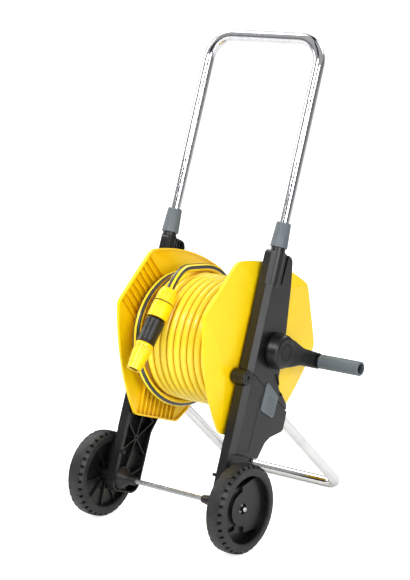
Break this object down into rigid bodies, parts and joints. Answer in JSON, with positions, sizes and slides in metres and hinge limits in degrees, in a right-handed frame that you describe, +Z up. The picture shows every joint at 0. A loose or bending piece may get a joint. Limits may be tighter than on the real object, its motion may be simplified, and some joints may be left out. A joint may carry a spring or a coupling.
{
  "type": "garden hose reel cart",
  "caption": "Two-wheeled garden hose cart: crank-wound hose drum between folding legs, sliding push handle and rear stand.",
  "frame": {"origin": "on the ground, midway between the wheels, straight below the axle", "axes": "+X to the crank side, +Y to the rear stand, +Z up"},
  "size_m": [0.4285, 0.4495, 0.8702],
  "materials": {
    "black_plastic": "fine moulded grain",
    "yellow_plastic": "smooth moulded",
    "grey_plastic": "satin moulded",
    "chromed_tube": "polished plating",
    "zinc_steel": "bright zinc",
    "tyre_plastic": "moulded tread",
    "hose": "glossy extruded"
  },
  "bodies": {
    "lower_frame": {"axle": "zinc_steel", "hinge_pin_left": "black_plastic", "hinge_pin_right": "black_plastic", "leg_cover_left": "black_plastic", "leg_cover_right": "black_plastic", "lower_leg_left": "black_plastic", "lower_leg_right": "black_plastic", "retaining_ring_left": "zinc_steel", "retaining_ring_right": "zinc_steel", "stand_tube": "chromed_tube", "stop_pin_left": "black_plastic", "stop_pin_right": "black_plastic"},
    "upper_frame": {"leg_neck_left": "black_plastic", "leg_neck_right": "black_plastic", "upper_leg_left": "black_plastic", "upper_leg_right": "black_plastic"},
    "handle": {"handle_tube": "chromed_tube"},
    "wheel_right": {"wheel_right": "black_plastic", "tyre_right": "tyre_plastic"},
    "wheel_left": {"wheel_left": "black_plastic", "tyre_left": "tyre_plastic"},
    "latch_right": {"latch_button_right": "grey_plastic"},
    "latch_left": {"latch_button_left": "grey_plastic"},
    "collar_right": {"clamp_collar_right": "grey_plastic"},
    "collar_left": {"clamp_collar_left": "grey_plastic"},
    "drum": {"crank": "black_plastic", "crank_cap": "black_plastic", "crank_shaft": "zinc_steel", "drum_core": "yellow_plastic", "flange_left": "yellow_plastic", "flange_right": "yellow_plastic", "grip_spindle": "black_plastic", "hose_connector": "yellow_plastic", "hose_nut": "yellow_plastic", "hose_tail": "hose", "hose_winding": "hose", "inlet_stem": "black_plastic", "nozzle_body": "black_plastic"},
    "grip": {"grip_sleeve": "grey_plastic"},
    "inlet": {"inlet_elbow": "black_plastic"},
    "nozzle_tip": {"nozzle_tip": "yellow_plastic"}
  },
  "joints": [
    {"name": "frame_fold", "type": "hinge", "parent": "lower_frame", "child": "upper_frame", "pos_m": [0, 0.05971, 0.29778], "axis": [1, 0, 0], "range_deg": [0, 68.37]},
    {"name": "handle_slide", "type": "slide", "parent": "upper_frame", "child": "handle", "axis": [0, 0.3778, 0.9259], "range_m": [-0.15, 0]},
    {"name": "drum_spin", "type": "hinge", "parent": "upper_frame", "child": "drum", "pos_m": [0, 0.14004, 0.32894], "axis": [1, 0, 0], "continuous": true},
    {"name": "grip_spin", "type": "hinge", "parent": "drum", "child": "grip", "pos_m": [0.2, 0.24253, 0.28898], "axis": [1, 0, 0], "continuous": true},
    {"name": "inlet_swivel", "type": "hinge", "parent": "drum", "child": "inlet", "pos_m": [-0.15, 0.14004, 0.32894], "axis": [1, 0, 0], "continuous": true},
    {"name": "nozzle_twist", "type": "hinge", "parent": "drum", "child": "nozzle_tip", "pos_m": [-0.02889, -0.02177, 0.35062], "axis": [-0.0144, -0.637, -0.7708], "range_deg": [0, 270]},
    {"name": "wheel_right_spin", "type": "hinge", "parent": "lower_frame", "child": "wheel_right", "pos_m": [0.16, 0, 0.08], "axis": [1, 0, 0], "continuous": true},
    {"name": "wheel_left_spin", "type": "hinge", "parent": "lower_frame", "child": "wheel_left", "pos_m": [-0.16, 0, 0.08], "axis": [1, 0, 0], "continuous": true},
    {"name": "latch_right_rock", "type": "hinge", "parent": "lower_frame", "child": "latch_right", "pos_m": [0.1365, 0.11959, 0.2403], "axis": [0, 0.7214, -0.6925], "range_deg": [0, 5], "stiffness_Nm_per_rad": 0.5, "springref_deg": -3.44},
    {"name": "latch_left_rock", "type": "hinge", "parent": "lower_frame", "child": "latch_left", "pos_m": [-0.1365, 0.11959, 0.2403], "axis": [0, -0.7214, 0.6925], "range_deg": [0, 5], "stiffness_Nm_per_rad": 0.5, "springref_deg": -3.44},
    {"name": "collar_right_twist", "type": "hinge", "parent": "upper_frame", "child": "collar_right", "pos_m": [0.1243, 0.17711, 0.52616], "axis": [0, 0.3778, 0.9259], "range_deg": [0, 60]},
    {"name": "collar_left_twist", "type": "hinge", "parent": "upper_frame", "child": "collar_left", "pos_m": [-0.1243, 0.17711, 0.52616], "axis": [0, 0.3778, 0.9259], "range_deg": [0, 60]}
  ]
}
